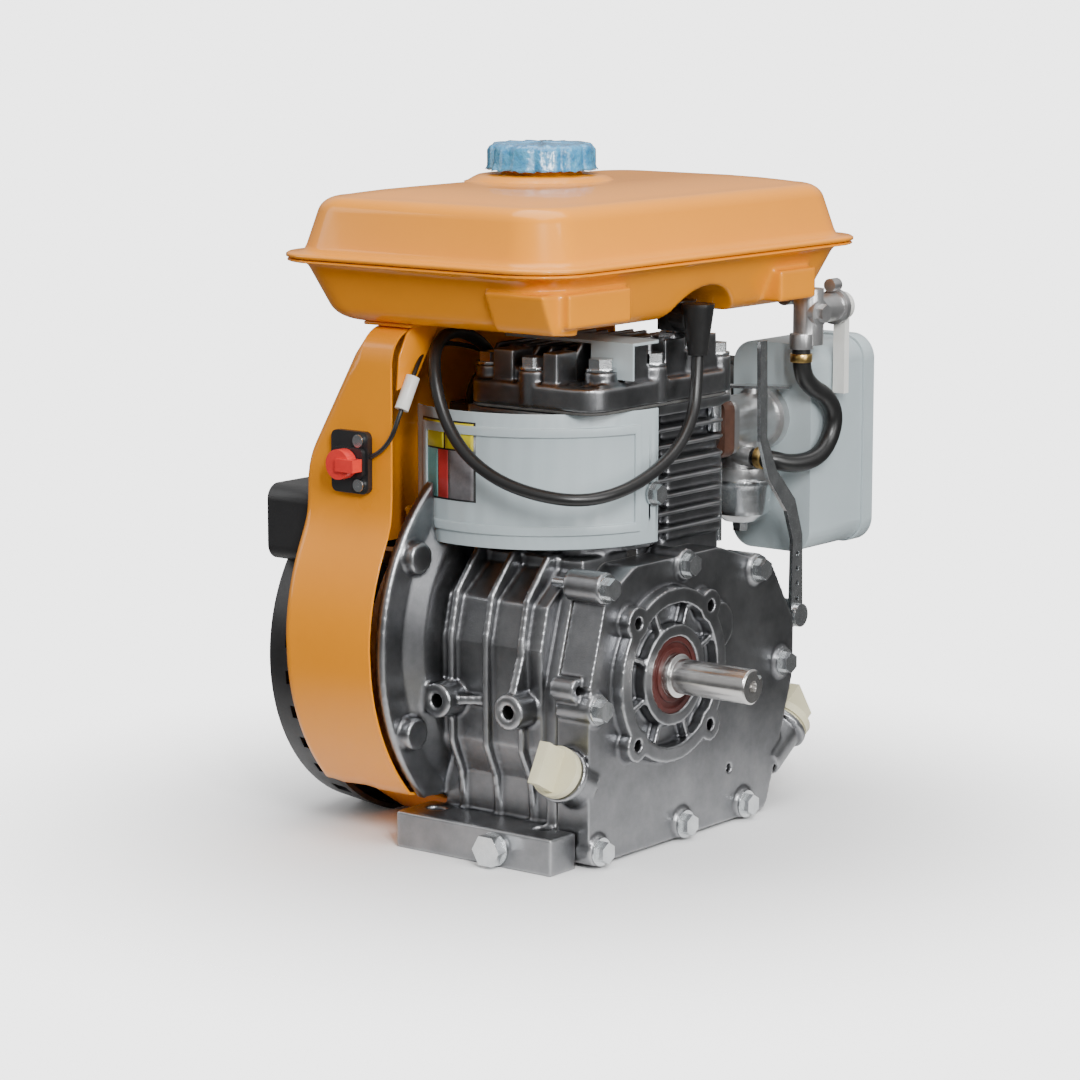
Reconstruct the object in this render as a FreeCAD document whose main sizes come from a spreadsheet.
import FreeCAD, Part
import math
import os
import re
import Sketcher
from FreeCAD import Placement, Rotation, Vector

# A small side-valve gasoline engine with its tank, recoil starter and air cleaner, in millimetres.
# Each piece is drawn from the power take-off (PTO) face: X runs out of the engine along the crank
# axis and is 0 at that face, Y is 0 at the crank axis and is positive towards the carburettor, and Z
# is 0 at the base. Its placement then carries it to the centre of the base bolt pattern.

SIZES = {
    # the PTO face and crank axis, from the centre of the base bolts
    "face_x": 75, "crank_y": -6, "crank_z": 100,
    # clearances: a screw in its hole, a running fit, and the air between moving and still pieces
    "slip": 0.05, "run": 0.05, "air": 0.4,
    # crank train
    "cyl_x": -67, "bore_r": 33.5, "stroke": 52, "rod_len": 95, "crankpin_r": 13, "web_r": 40,
    "web_w": 12, "web_gap": 20, "journal_r": 12.5, "seat_r": 14, "shaft_r": 10, "shaft_len": 53,
    "collar_len": 3, "key_w": 5, "key_deep": 3, "key_len": 32, "tip_hole_r": 3.4, "tip_hole_deep": 18,
    "taper_r": 11, "thread_r": 7, "thread_end": -178, "taper_start": -129, "taper_end": -160,
    "wrist_r": 7, "wrist_len": 56, "piston_h": 47, "pin_to_skirt": 21, "piston_wall": 4.5, "crown_t": 7,
    "rod_w": 18, "big_end_r": 18, "small_end_r": 12, "shank_w": 13,
    # bearings and seal
    "bearing_r": 26, "bearing_w": 15, "pto_bearing_x": -25, "fly_bearing_x": -124, "seal_outer_r": 22,
    "seal_w": 7, "seal_in": 1,
    # camshaft and governor
    "cam_y": 50, "cam_rise": 20, "cam_r": 7, "cam_base_r": 8, "cam_lift": 4.5, "crank_teeth": 20,
    "gear_x": -43.5, "gear_w": 12, "gov_teeth": 18, "gov_drop": 24, "gov_shaft_r": 4,
    # valves
    "valve_gap": 34, "valve_y": 52, "valve_head_r": 13.5, "valve_head_t": 3, "stem_r": 3.5,
    "valve_lift": 5, "tappet_r": 6, "tappet_h": 14,
    # crankcase
    "joint_x": -30, "gasket_t": 0.5, "case_end": -114, "wall": 5, "flange_t": 8, "foot_h": 21,
    "foot_w": 32, "foot_front_y": -94, "foot_rear_y": 106, "foot_x": -16, "foot_len": 111,
    "bolt_span_x": 76, "bolt_span_y": 162, "slot_r": 4.5, "slot_len": 12, "bell_r": 120, "bell_z": 114,
    "bell_t": 4, "deck_z": 250, "liner_r": 36, "liner_low": 143, "barrel_r": 44, "fin_low": 176,
    "fin_pitch": 9.6, "fin_t": 2.6, "fin_count": 8, "fin_x0": -114, "fin_x1": -22, "fin_y0": -50,
    "fin_y1": 84, "fin_corner": 12, "panel_x": -96, "panel_y": 6, "panel_r": 80,
    "panel_low": 174, "side_y": -70, "top_z": 165, "far_y": 130, "floor_z": 2, "rib_t": 4, "rib_pitch": 25, "rib_count": 3,
    # PTO cover
    "cover_t": 22, "ring_r": 50, "ring_w": 9, "hub_r": 29, "pcd": 98, "pto_hole_r": 3.4, "ear_r": 9.5,
    "screw_r": 3, "screw_head_r": 6.2, "screw_head_h": 5, "screw_flange_r": 8, "boss_r": 9,
    # head
    "gasket_head_t": 1.5, "head_t": 13, "head_top": 286, "head_fin_t": 2.6, "head_fin_pitch": 9.4,
    "head_x0": -112, "head_x1": -19, "head_y0": -46, "head_y1": 84,
    "plug_x": -34, "plug_y": 46, "plug_hole_r": 7,
    # flywheel, blower housing and recoil starter
    "fly_r": 92, "blade_count": 16, "house_r": 124.5, "house_z": 116, "house_back": -120.5,
    "house_front": -185, "sheet": 1.5, "neck_y": 104, "neck_top": 296, "inlet_r": 74,
    "recoil_r": 104, "recoil_depth": 50, "recoil_t": 3, "vent_count": 30, "reel_r": 46, "reel_w": 14,
    # tank
    "tank_x0": -200, "tank_x1": 6, "tank_y0": -122, "tank_y1": 192, "seam_z": 333, "tank_top": 372,
    "tank_floor": 298, "lip": 9, "lip_t": 2, "tank_corner": 32, "tank_wall": 1.5,
    "cap_x": -119, "cap_y": 30, "cap_r": 30, "cap_h": 14, "neck_r": 20,
    # intake, air cleaner and muffler
    "port_z": 226, "port_r": 11, "chest_y": 84, "carb_x": -50, "flange_y": 92, "carb_y0": 102,
    "carb_y1": 150, "bowl_y": 135, "bowl_r": 19, "bowl_low": 166, "bowl_high": 192,
    "filter_x0": -72, "filter_x1": -16, "filter_y0": 158, "filter_y1": 225, "filter_z0": 146,
    "filter_z1": 271, "filter_corner": 14, "lid_y": 214,
    "muffler_x0": -172, "muffler_x1": -78, "muffler_y0": 115, "muffler_y1": 185, "muffler_z0": 168,
    "muffler_z1": 252,
}

doc = FreeCAD.newDocument("engine")
sheet = doc.addObject("Spreadsheet::Sheet", "sizes")
for row, (alias, size) in enumerate(SIZES.items(), start=1):
    sheet.set(f"A{row}", alias)
    sheet.set(f"B{row}", str(size))
    sheet.setAlias(f"B{row}", alias)
doc.recompute()

NODES = []
TURN = {
    "X": Rotation(Vector(0, 1, 0), 90),
    "Y": Rotation(Vector(1, 0, 0), -90),
    "Z": Rotation(),
}


def size(alias):
    return float(sheet.get(alias))


def bind(text):
    """Writes an expression with each size's alias pointed at the sheet."""
    return re.sub(r"[a-z]\w*", lambda word: "sizes." + word.group(0) if word.group(0) in SIZES
                  else word.group(0), str(text))


def tie(obj, **places):
    """Binds an object's properties, given as names with __ for dots, to expressions."""
    for name, text in places.items():
        obj.setExpression(name.replace("__", "."), bind(text))


def move(obj, x, y, z):
    tie(obj, Placement__Base__x=x, Placement__Base__y=y, Placement__Base__z=z)
    return obj


def box(x, y, z):
    """A block between the low and high expressions of each axis."""
    obj = doc.addObject("Part::Box", "block")
    tie(obj, Length=f"({x[1]}) - ({x[0]})", Width=f"({y[1]}) - ({y[0]})", Height=f"({z[1]}) - ({z[0]})")
    return move(obj, x[0], y[0], z[0])


def rod(axis, radius, span, centre):
    """A cylinder along an axis; centre holds its other two coordinates, in X, Y, Z order."""
    obj = doc.addObject("Part::Cylinder", "rod")
    tie(obj, Radius=radius, Height=f"({span[1]}) - ({span[0]})")
    obj.Placement = Placement(Vector(), TURN[axis])
    spot = list(centre)
    spot.insert("XYZ".index(axis), span[0])
    return move(obj, *spot)


def cone(axis, low_r, high_r, span, centre):
    obj = doc.addObject("Part::Cone", "cone")
    tie(obj, Radius1=low_r, Radius2=high_r, Height=f"({span[1]}) - ({span[0]})")
    obj.Placement = Placement(Vector(), TURN[axis])
    spot = list(centre)
    spot.insert("XYZ".index(axis), span[0])
    return move(obj, *spot)


def leaning(obj, along, angle, x, y, z):
    """Turns a piece by an angle about an axis through its own origin, then puts that origin at x, y, z."""
    holder = doc.addObject("Part::Compound", "leaning")
    holder.Links = [obj]
    holder.Placement = Placement(Vector(), Rotation(along, angle))
    return move(holder, x, y, z)


def post(radius, height):
    obj = doc.addObject("Part::Cylinder", "post")
    tie(obj, Radius=radius, Height=height)
    return obj


def hexagon(axis, radius, span, centre):
    obj = doc.addObject("Part::Prism", "hexagon")
    obj.Polygon = 6
    tie(obj, Circumradius=radius, Height=f"({span[1]}) - ({span[0]})")
    obj.Placement = Placement(Vector(), TURN[axis])
    spot = list(centre)
    spot.insert("XYZ".index(axis), span[0])
    return move(obj, *spot)


def fuse(*pieces):
    if len(pieces) == 1:
        return pieces[0]
    obj = doc.addObject("Part::MultiFuse", "fuse")
    obj.Shapes = list(pieces)
    obj.Refine = False
    return obj


def cut(base, *tools):
    obj = doc.addObject("Part::Cut", "cut")
    obj.Base = base
    obj.Tool = fuse(*tools)
    return obj


def common(*pieces):
    obj = doc.addObject("Part::MultiCommon", "common")
    obj.Shapes = list(pieces)
    return obj


def plane(body, role):
    return next(item for item in body.Origin.OriginFeatures if item.Role == role)


def outline(body, role, points, offset="0"):
    """A closed sketch through points, each a pair of expressions, on a plane moved along its normal."""
    drawing = body.newObject("Sketcher::SketchObject", "outline")
    drawing.AttachmentSupport = [(plane(body, role), "")]
    drawing.MapMode = "FlatFace"
    drawing.setExpression("AttachmentOffset.Base.z", bind(offset))
    count = len(points)
    rough = [Vector(50 * math.cos(6.28 * i / count), 50 * math.sin(6.28 * i / count), 0)
             for i in range(count)]
    for i in range(count):
        drawing.addGeometry(Part.LineSegment(rough[i], rough[(i + 1) % count]))
    for i in range(count):
        drawing.addConstraint(Sketcher.Constraint("Coincident", i, 2, (i + 1) % count, 1))
    for i, pair in enumerate(points):
        for kind, text, start in zip(("DistanceX", "DistanceY"), pair, rough[i]):
            index = drawing.addConstraint(Sketcher.Constraint(kind, -1, 1, i, 1, start))
            drawing.setExpression(f"Constraints[{index}]", bind(text))
    return drawing


def turned(points, axis="X"):
    """A body turned about its own X axis from a profile of (along, radius) points."""
    body = doc.addObject("PartDesign::Body", "turned")
    drawing = outline(body, "XZ_Plane", points)
    feature = body.newObject("PartDesign::Revolution", "revolution")
    feature.Profile = drawing
    feature.ReferenceAxis = (drawing, ["H_Axis"])
    feature.Angle = 360
    body.Placement = Placement(Vector(), TURN[axis] * TURN["X"].inverted())
    return body


def side_edges(shape, normal):
    """The names of a prism's straight edges along its normal, leaning ones too."""
    names = []
    for number, edge in enumerate(shape.Edges, start=1):
        if len(edge.Vertexes) == 2:
            span = edge.Vertexes[1].Point - edge.Vertexes[0].Point
            if abs(span.normalize().dot(normal)) > 0.7:
                names.append(f"Edge{number}")
    return names


def rim_edges(shape, axis, level):
    """The names of the edges that lie at one level of an axis."""
    names = []
    for number, edge in enumerate(shape.Edges, start=1):
        bounds = edge.BoundBox
        low, high = {"X": (bounds.XMin, bounds.XMax), "Y": (bounds.YMin, bounds.YMax),
                     "Z": (bounds.ZMin, bounds.ZMax)}[axis]
        if abs(low - level) < 0.01 and abs(high - level) < 0.01:
            names.append(f"Edge{number}")
    return names


def rounded(body, feature, names, radius):
    blend = body.newObject("PartDesign::Fillet", "fillet")
    blend.Base = (feature, names)
    tie(blend, Radius=radius)
    doc.recompute()
    return blend


NORMAL = {"XY_Plane": Vector(0, 0, 1), "XZ_Plane": Vector(0, 1, 0), "YZ_Plane": Vector(1, 0, 0)}


def prism(role, points, start, depth, corner=None, taper=None, rim=None, rim_at=None):
    """A padded outline. start is along the plane's normal, which is -Y on XZ. taper leans its sides,
    corner rounds its upright edges, and rim rounds the edges at level rim_at, an (axis, mm) pair."""
    body = doc.addObject("PartDesign::Body", "prism")
    drawing = outline(body, role, points, start)
    pad = body.newObject("PartDesign::Pad", "pad")
    pad.Profile = drawing
    tie(pad, Length=depth)
    if taper is not None:
        pad.TaperAngle = taper
    doc.recompute()
    feature = pad
    if corner is not None:
        feature = rounded(body, feature, side_edges(feature.Shape, NORMAL[role]), corner)
    if rim is not None:
        axis, level = rim_at
        rounded(body, feature, rim_edges(feature.Shape, axis, level), rim)
    return body


def rectangle(a, b):
    return [(a[0], b[0]), (a[1], b[0]), (a[1], b[1]), (a[0], b[1])]


def keep(label, obj, at=("0", "0", "0")):
    """Names a finished piece and carries it from the PTO face to the centre of the base bolts."""
    piece = obj
    if obj.TypeId in ("Part::Box", "Part::Cylinder", "Part::Cone", "Part::Prism"):
        piece = doc.addObject("Part::Compound", "piece")
        piece.Links = [obj]
    piece.Label = label
    move(piece, f"face_x + ({at[0]})", f"crank_y + ({at[1]})", at[2])
    NODES.append(piece)


CRANK = ("0", "crank_z")
CAM = ("cam_y", "crank_z + cam_rise")
GOVERNOR = ("cam_y + 46", "crank_z + cam_rise - gov_drop")
BORE = ("cyl_x", "0")
VALVES = ("cyl_x + valve_gap / 2", "cyl_x - valve_gap / 2")
WEB_FRONT = "(cyl_x + web_gap / 2 + web_w)"
WEB_REAR = "(cyl_x - web_gap / 2 - web_w)"
BOTTOM_PIN = "(crank_z - stroke / 2)"
WRIST = "(crank_z - stroke / 2 + rod_len)"
COVER_BOLTS = [("-57", "157"), ("19", "160"), ("90", "147.5"), ("117", "88"), ("79", "9.5"), ("18", "9.5"),
               ("-62", "9.5"), ("-64", "90")]


# ---- crank train ----

def crankshaft():
    front = [("shaft_len", "0"), ("shaft_len", "shaft_r - 1"), ("shaft_len - 1", "shaft_r"),
             ("collar_len + 1", "shaft_r"), ("collar_len", "journal_r"), ("gear_x + gear_w + 1", "journal_r"),
             ("gear_x + gear_w + 1", "seat_r"), (WEB_FRONT, "seat_r"), (WEB_FRONT, "web_r"),
             (f"{WEB_FRONT} - web_w", "web_r"), (f"{WEB_FRONT} - web_w", "0")]
    rear = [(f"{WEB_REAR} + web_w", "0"), (f"{WEB_REAR} + web_w", "web_r"), (WEB_REAR, "web_r"),
            (WEB_REAR, "seat_r"), ("fly_bearing_x + bearing_w + air", "seat_r"),
            ("fly_bearing_x + bearing_w + air", "journal_r"), ("taper_start", "journal_r"),
            ("taper_start", "taper_r"), ("taper_end", "taper_r"), ("taper_end", "thread_r"),
            ("thread_end", "thread_r"), ("thread_end", "0")]
    shafts = [move(turned(points), "0", "0", "crank_z") for points in (front, rear)]
    keyway = box(("shaft_len - key_len", "shaft_len + 1"), ("-key_w / 2", "key_w / 2"),
                 ("shaft_r - key_deep", "shaft_r + 1"))
    slotted = leaning(fuse(keyway, rod("X", "1", ("shaft_len - 2", "shaft_len + 1"), ("0", "shaft_r"))),
                      Vector(1, 0, 0), -45, "0", "0", "crank_z")
    tip = rod("X", "tip_hole_r", ("shaft_len - tip_hole_deep", "shaft_len + 1"), CRANK)
    keep("crankshaft", cut(fuse(*shafts), slotted, tip))


def gear(teeth, radius, module, width, bore, phase):
    """A spur gear with straight-sided teeth, drawn about its own X axis from 0 to its width."""
    root, tip = radius - 1.25 * module, radius + 0.9 * module
    pitch = 2 * math.pi / teeth
    points = []
    for tooth in range(teeth):
        middle = phase + tooth * pitch
        for share, reach in ((-0.30, root), (-0.11, tip), (0.11, tip), (0.30, root)):
            angle = middle + share * pitch
            points.append(Vector(0, reach * math.cos(angle), reach * math.sin(angle)))
    blank = Part.Face(Part.makePolygon(points + points[:1])).extrude(Vector(width, 0, 0))
    return blank.cut(Part.makeCylinder(bore, width, Vector(), Vector(1, 0, 0)))


def mesh():
    """The timing gears' pitch radius per tooth pair, and the angle from the crank to the camshaft."""
    rise, run = size("cam_rise"), size("cam_y")
    return math.hypot(rise, run) / 3, math.atan2(rise, run)


def crank_gear():
    radius, lean = mesh()
    teeth = int(size("crank_teeth"))
    piece = doc.addObject("Part::Feature", "crank_gear")
    piece.Shape = gear(teeth, radius, 2 * radius / teeth, size("gear_w"), size("seat_r"), lean)
    keep("crank_gear", piece, ("gear_x", "0", "crank_z"))


def lobe(x, half, lean):
    """A cam lobe around the camshaft: a base circle with a smaller nose circle beside it."""
    nose = leaning(box(("0", half), ("-cam_base_r / 2", "cam_base_r / 2"), ("0", "cam_base_r + cam_lift")),
                   Vector(1, 0, 0), lean, x, "cam_y", "crank_z + cam_rise")
    return fuse(rod("X", "cam_base_r", (x, f"{x} + {half}"), CAM), nose)


def camshaft():
    radius, lean = mesh()
    teeth = 2 * int(size("crank_teeth"))
    wheel = doc.addObject("Part::Feature", "cam_wheel")
    phase = lean + math.pi + math.pi / teeth
    wheel.Shape = gear(teeth, 2 * radius, 2 * radius / (teeth / 2), size("gear_w"), size("cam_r"), phase)
    move(wheel, "gear_x", *CAM)
    shaft = rod("X", "cam_r", ("case_end + 2", "-11"), CAM)
    lobes = [lobe(f"{x} - 5", "10", lean) for x, lean in zip(VALVES, (150, 250))]
    keep("camshaft", fuse(wheel, shaft, *lobes))


def governor_gear():
    radius, _ = mesh()
    teeth = int(size("gov_teeth"))
    span = math.hypot(46, size("gov_drop"))
    pitch_r = span - 2 * radius
    lean = math.atan2(size("gov_drop"), -46) + math.pi / teeth
    wheel = doc.addObject("Part::Feature", "governor_wheel")
    wheel.Shape = gear(teeth, pitch_r, 2 * pitch_r / teeth, size("gear_w") - 2, size("gov_shaft_r"), lean)
    move(wheel, "gear_x + 1", *GOVERNOR)
    hub = rod("X", "8", ("gear_x - 10", "gear_x + 1"), GOVERNOR)
    weights = [box(("gear_x - 12", "gear_x + 1"), ("cam_y + 46 - 5", "cam_y + 46 + 5"),
                   (f"{GOVERNOR[1]} + {low}", f"{GOVERNOR[1]} + {high}"))
               for low, high in (("5", "12"), ("-12", "-5"))]
    sleeve = rod("X", "6", ("gear_x - 18", "gear_x - 10"), GOVERNOR)
    bore = rod("X", "gov_shaft_r + run", ("gear_x - 20", "gear_x + gear_w"), GOVERNOR)
    keep("governor_gear", cut(fuse(wheel, hub, sleeve, *weights), bore))


def piston():
    low, high = f"{WRIST} - pin_to_skirt", f"{WRIST} - pin_to_skirt + piston_h"
    body = rod("Z", "bore_r - run", (low, high), BORE)
    rings = [cut(rod("Z", "bore_r + 1", (f"{high} - {drop}", f"{high} - {drop} + 1.5"), BORE),
                 rod("Z", "bore_r - 1.5", (f"{high} - {drop}", f"{high} - {drop} + 1.5"), BORE))
             for drop in ("6", "11", "17")]
    hollow = rod("Z", "bore_r - piston_wall", (f"{low} - 1", f"{high} - crown_t"), BORE)
    bosses = cut(rod("X", "wrist_r + 5", ("cyl_x - bore_r + 3", "cyl_x + bore_r - 3"), ("0", WRIST)),
                 box(("cyl_x - rod_w / 2 - 1", "cyl_x + rod_w / 2 + 1"), ("-30", "30"), (low, high)))
    pin = rod("X", "wrist_r", ("cyl_x - bore_r", "cyl_x + bore_r"), ("0", WRIST))
    keep("piston", cut(fuse(cut(body, hollow, *rings), common(bosses, body)), pin))


def wrist_pin():
    pin = rod("X", "wrist_r", ("cyl_x - wrist_len / 2", "cyl_x + wrist_len / 2"), ("0", WRIST))
    bore = rod("X", "wrist_r - 3", ("cyl_x - wrist_len / 2", "cyl_x + wrist_len / 2"), ("0", WRIST))
    keep("wrist_pin", cut(pin, bore))


def connecting_rod():
    span = ("cyl_x - rod_w / 2", "cyl_x + rod_w / 2")
    eyes = [rod("X", "big_end_r", span, ("0", BOTTOM_PIN)), rod("X", "small_end_r", span, ("0", WRIST))]
    shank = box(("cyl_x - 5", "cyl_x + 5"), ("-shank_w / 2", "shank_w / 2"), (BOTTOM_PIN, WRIST))
    bores = [rod("X", "crankpin_r", span, ("0", BOTTOM_PIN)), rod("X", "wrist_r", span, ("0", WRIST))]
    keep("connecting_rod", cut(fuse(shank, *eyes), *bores))


def crank_pin():
    """The crank pin runs in the rod and stops short of the webs: the slider crank is opened there."""
    span = ("cyl_x - web_gap / 2 + air", "cyl_x + web_gap / 2 - air")
    keep("crank_pin", rod("X", "crankpin_r", span, ("0", BOTTOM_PIN)))


def bearing(label, x):
    """A ball bearing's two rings and its sealed ball row, as one ring with grooved faces."""
    ring = cut(rod("X", "bearing_r", (x, f"{x} + bearing_w"), CRANK),
               rod("X", "journal_r + run", (f"{x} - 1", f"{x} + bearing_w + 1"), CRANK))
    grooves = [cut(rod("X", "bearing_r - 4", (f"{x} + {low}", f"{x} + {low} + 1"), CRANK),
                   rod("X", "journal_r + 4", (f"{x} + {low}", f"{x} + {low} + 1"), CRANK))
               for low in ("0", "bearing_w - 1")]
    keep(label, cut(ring, *grooves))


def oil_seal():
    span = ("-seal_in - seal_w", "-seal_in")
    ring = cut(rod("X", "seal_outer_r", span, CRANK), rod("X", "journal_r + run", span, CRANK))
    dish = cut(rod("X", "seal_outer_r - 3", ("-seal_in - 1.5", "-seal_in"), CRANK),
               rod("X", "journal_r + 3", ("-seal_in - 1.5", "-seal_in"), CRANK))
    keep("oil_seal", cut(ring, dish))


def flywheel():
    profile = [("-129.5", "taper_r"), ("-129.5", "24"), ("-134", "28"), ("-134", "fly_r - 16"),
               ("-126", "fly_r - 16"), ("-126", "fly_r"), ("-150", "fly_r"), ("-150", "fly_r - 30"),
               ("-143", "30"), ("taper_end", "24"), ("taper_end", "taper_r")]
    wheel = move(turned(profile), "0", "0", "crank_z")
    count = int(size("blade_count"))
    blades = [leaning(box(("-168", "-146"), ("-1.5", "1.5"), ("58", "fly_r - 1")), Vector(1, 0, 0),
                      360 * blade / count, "0", "0", "crank_z") for blade in range(count)]
    keep("flywheel", fuse(wheel, *blades))


def starter_cup():
    profile = [("taper_end", "thread_r"), ("taper_end", "34"), ("-182", "31"), ("-182", "29"),
               ("taper_end - 3", "31"), ("taper_end - 3", "thread_r")]
    nut = cut(hexagon("X", "12", ("-173", "taper_end - 3"), CRANK), rod("X", "thread_r", ("-174", "-160"), CRANK))
    keep("starter_cup", fuse(move(turned(profile), "0", "0", "crank_z"), nut))


def valve(label, x):
    """A poppet valve closed on its seat, with its tappet under the stem."""
    head = cone("Z", "stem_r", "valve_head_r", ("deck_z - valve_head_t - 5", "deck_z - 2"), (x, "valve_y"))
    disc = rod("Z", "valve_head_r", ("deck_z - 2", "deck_z - 0.5"), (x, "valve_y"))
    foot = "crank_z + cam_rise + cam_base_r + cam_lift + 1"
    stem = rod("Z", "stem_r", (foot, "deck_z - 5"), (x, "valve_y"))
    tappet = rod("Z", "tappet_r", (foot, f"{foot} + 3"), (x, "valve_y"))
    collar = rod("Z", "tappet_r + 3", ("168", "171"), (x, "valve_y"))
    keep(label, fuse(head, disc, stem, tappet, collar))


# ---- crankcase, cylinder and covers ----

def case_outline(inset, floor="floor_z"):
    """The crankcase's section across the crank axis, drawn in by an inset."""
    inset = f"({inset})"
    return [(f"side_y + {inset}", floor), (f"side_y + {inset}", "100"), (f"side_y + 15 + {inset}", f"150 - {inset}"),
            ("side_y + 42", f"top_z - {inset}"), ("54", f"top_z - {inset}"),
            (f"far_y - 22 - {inset}", f"top_z - 18 - {inset}"), (f"far_y - {inset}", "112"),
            (f"far_y - {inset}", "78"), (f"far_y - 27 - {inset}", floor)]


def case_prism(inset, low_x, high_x, floor="floor_z", corner="7"):
    return prism("YZ_Plane", case_outline(inset, floor), low_x, f"({high_x}) - ({low_x})", corner)


def screw_spots(radius, span, depth_axis="X"):
    return [rod(depth_axis, radius, span, spot) for spot in COVER_BOLTS]


def wheel_room():
    """The room that the cam wheel turns in, cut out of the cylinder's lower end."""
    return rod("X", "39", ("gear_x - 1", "joint_x - gasket_t"), CAM)


def bolt_depth(spot):
    """How far a cover bolt goes into the crankcase; the one over the cylinder is short."""
    return "3" if spot == COVER_BOLTS[1] else "12"


def foot(low_y, high_y, hole_y):
    """A base foot with its two slots, which run along X."""
    bar = box(("foot_x - foot_len", "foot_x"), (low_y, high_y), ("0", "foot_h"))
    slots = []
    for side in (-1, 1):
        middle = f"-face_x + {side} * bolt_span_x / 2"
        ends = [f"{middle} + {end} * (slot_len / 2 - slot_r)" for end in (-1, 1)]
        slots += [rod("Z", "slot_r", ("-1", "foot_h + 1"), (end, hole_y)) for end in ends]
        slots.append(box((ends[0], ends[1]), (f"{hole_y} - slot_r", f"{hole_y} + slot_r"), ("-1", "foot_h + 1")))
    return bar, slots


def fins():
    """The cylinder's cooling fins, cut back to the round baffle panel on their near side."""
    plates = []
    for number in range(int(size("fin_count"))):
        low = f"fin_low + {number} * fin_pitch"
        plates.append(prism("XY_Plane", rectangle(("fin_x0", "fin_x1"), ("fin_y0", "fin_y1")), low, "fin_t",
                            "fin_corner"))
    plates.append(box(("fin_x0 + 4", "fin_x1"), ("fin_y0", "fin_y1"), ("deck_z - 5", "deck_z")))
    height = ("fin_low - 1", "deck_z + 1")
    room = fuse(rod("Z", "panel_r - 2", height, ("panel_x", "panel_y")),
                box(("fin_x0 - 1", "fin_x1 + 1"), ("panel_y", "fin_y1 + 1"), height))
    return common(fuse(*plates), room)


HEAD_BOLTS = [("-103", "-36"), ("-67", "-43"), ("-32", "-28"), ("-105", "20"), ("-27", "12"),
              ("-103", "76"), ("-67", "77"), ("-29", "77")]


def valve_chest():
    """The block beside the bore that holds the valve gear and the two ports."""
    solid = fuse(box(("-106", "-28"), ("30", "chest_y"), ("150", "214")),
                 box(("-102", "-32"), ("30", "chest_y"), ("210", "deck_z - 3")),
                 *[rod("Y", "port_r + 5.5", ("60", "flange_y"), (x, "port_z")) for x in VALVES])
    hollows = [box(("-101", "-33"), ("43", "chest_y + 1"), ("166", "206"))]
    for x in VALVES:
        hollows += [rod("Y", "port_r", ("valve_y - 4", "flange_y + 1"), (x, "port_z")),
                    rod("Z", "port_r", ("port_z - 2", "deck_z"), (x, "valve_y")),
                    rod("Z", "valve_head_r + air", ("deck_z - 8", "deck_z + 1"), (x, "valve_y")),
                    rod("Z", "stem_r + run", ("140", "deck_z"), (x, "valve_y"))]
    return solid, hollows


def side_bosses():
    """Two mounting bosses that stand out of the near side, with their webs and tapped holes."""
    spots = [("-101", "87"), ("-50", "87")]
    solids = [rod("Y", "10", ("-90", "-60"), spot) for spot in spots]
    solids.append(prism("YZ_Plane", [("-88", "92"), ("-76", "124"), ("-60", "124"), ("-60", "92")], "-52.5", "5"))
    solids.append(prism("XY_Plane", [("-94", "-85"), ("-74", "-72"), ("-74", "-60"), ("-94", "-60")], "85", "5"))
    holes = [rod("Y", "4", ("-91", "-76"), spot) for spot in spots]
    return solids, holes


def ribs():
    """Upright ribs on the near side, which swell outwards above the foot as the wall between them does."""
    swell = [("-60", "foot_h - 2"), ("side_y + 4", "foot_h - 2"), ("side_y", "44"), ("side_y - 8", "62"),
             ("side_y - 9", "122"), ("side_y - 3", "148"), ("side_y + 16", "170"), ("-30", "170"), ("-30", "150"),
             ("-60", "120")]
    wall = [("-60", "40"), ("side_y + 5", "44"), ("side_y - 3", "64"), ("side_y - 4", "120"),
            ("side_y + 2", "144"), ("-44", "163"), ("-40", "158"), ("-60", "120")]
    plates = [prism("YZ_Plane", wall, "case_end + 8", "joint_x - gasket_t - flange_t - case_end - 8")]
    for number in range(int(size("rib_count"))):
        plates.append(prism("YZ_Plane", swell, f"-48 - rib_t - {number} * rib_pitch", "rib_t"))
    return plates


def bell():
    """The round plate that carries the blower housing, dished towards the flywheel."""
    centre = ("0", "bell_z")
    plate = common(rod("X", "bell_r", ("house_back + 0.5", "case_end"), centre),
                   housing_block("sheet + 1", "house_back", "case_end + 1"),
                   box(("house_back", "case_end + 1"), ("-150", "150"), ("floor_z + 3", "240")))
    outer = fuse(plate, cone("X", "bell_r - 14", "bell_r - 30", ("case_end - 1", "case_end + 6"), centre))
    inner = cone("X", "bell_r - 17", "bell_r - 33", ("house_back", "case_end + 2"), centre)
    case_room = case_prism("5 + wall", "case_end + wall", "joint_x", "floor_z + 8", "4")
    panel_room = rod("Z", "panel_r + 2", ("panel_low - air", "300"), ("panel_x", "panel_y"))
    pads = [rod("X", "9", ("case_end - 2", "case_end + 7"),
                (f"(bell_r - 12) * {math.cos(math.radians(turn)):.5f}",
                 f"bell_z + (bell_r - 12) * {math.sin(math.radians(turn)):.5f}")) for turn in (150, 205)]
    return cut(fuse(outer, *pads), inner, case_room, panel_room)


def neck(y, z, lean, reach):
    """A slanting oil filler neck with a flared mouth."""
    tube = leaning(post("13", reach), Vector(1, 0, 0), lean, "-19", y, z)
    mouth = leaning(post("15.5", "4"), Vector(1, 0, 0), lean, "-19",
                    f"{y} - ({reach} - 4) * {math.sin(math.radians(lean)):.5f}",
                    f"{z} + ({reach} - 4) * {math.cos(math.radians(lean)):.5f}")
    return fuse(tube, mouth)


def neck_bore(y, z, lean, reach):
    bore = leaning(post("10", f"{reach} + 8"), Vector(1, 0, 0), lean, "-19",
                   f"{y} + 4 * {math.sin(math.radians(lean)):.5f}",
                   f"{z} - 4 * {math.cos(math.radians(lean)):.5f}")
    return bore


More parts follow.
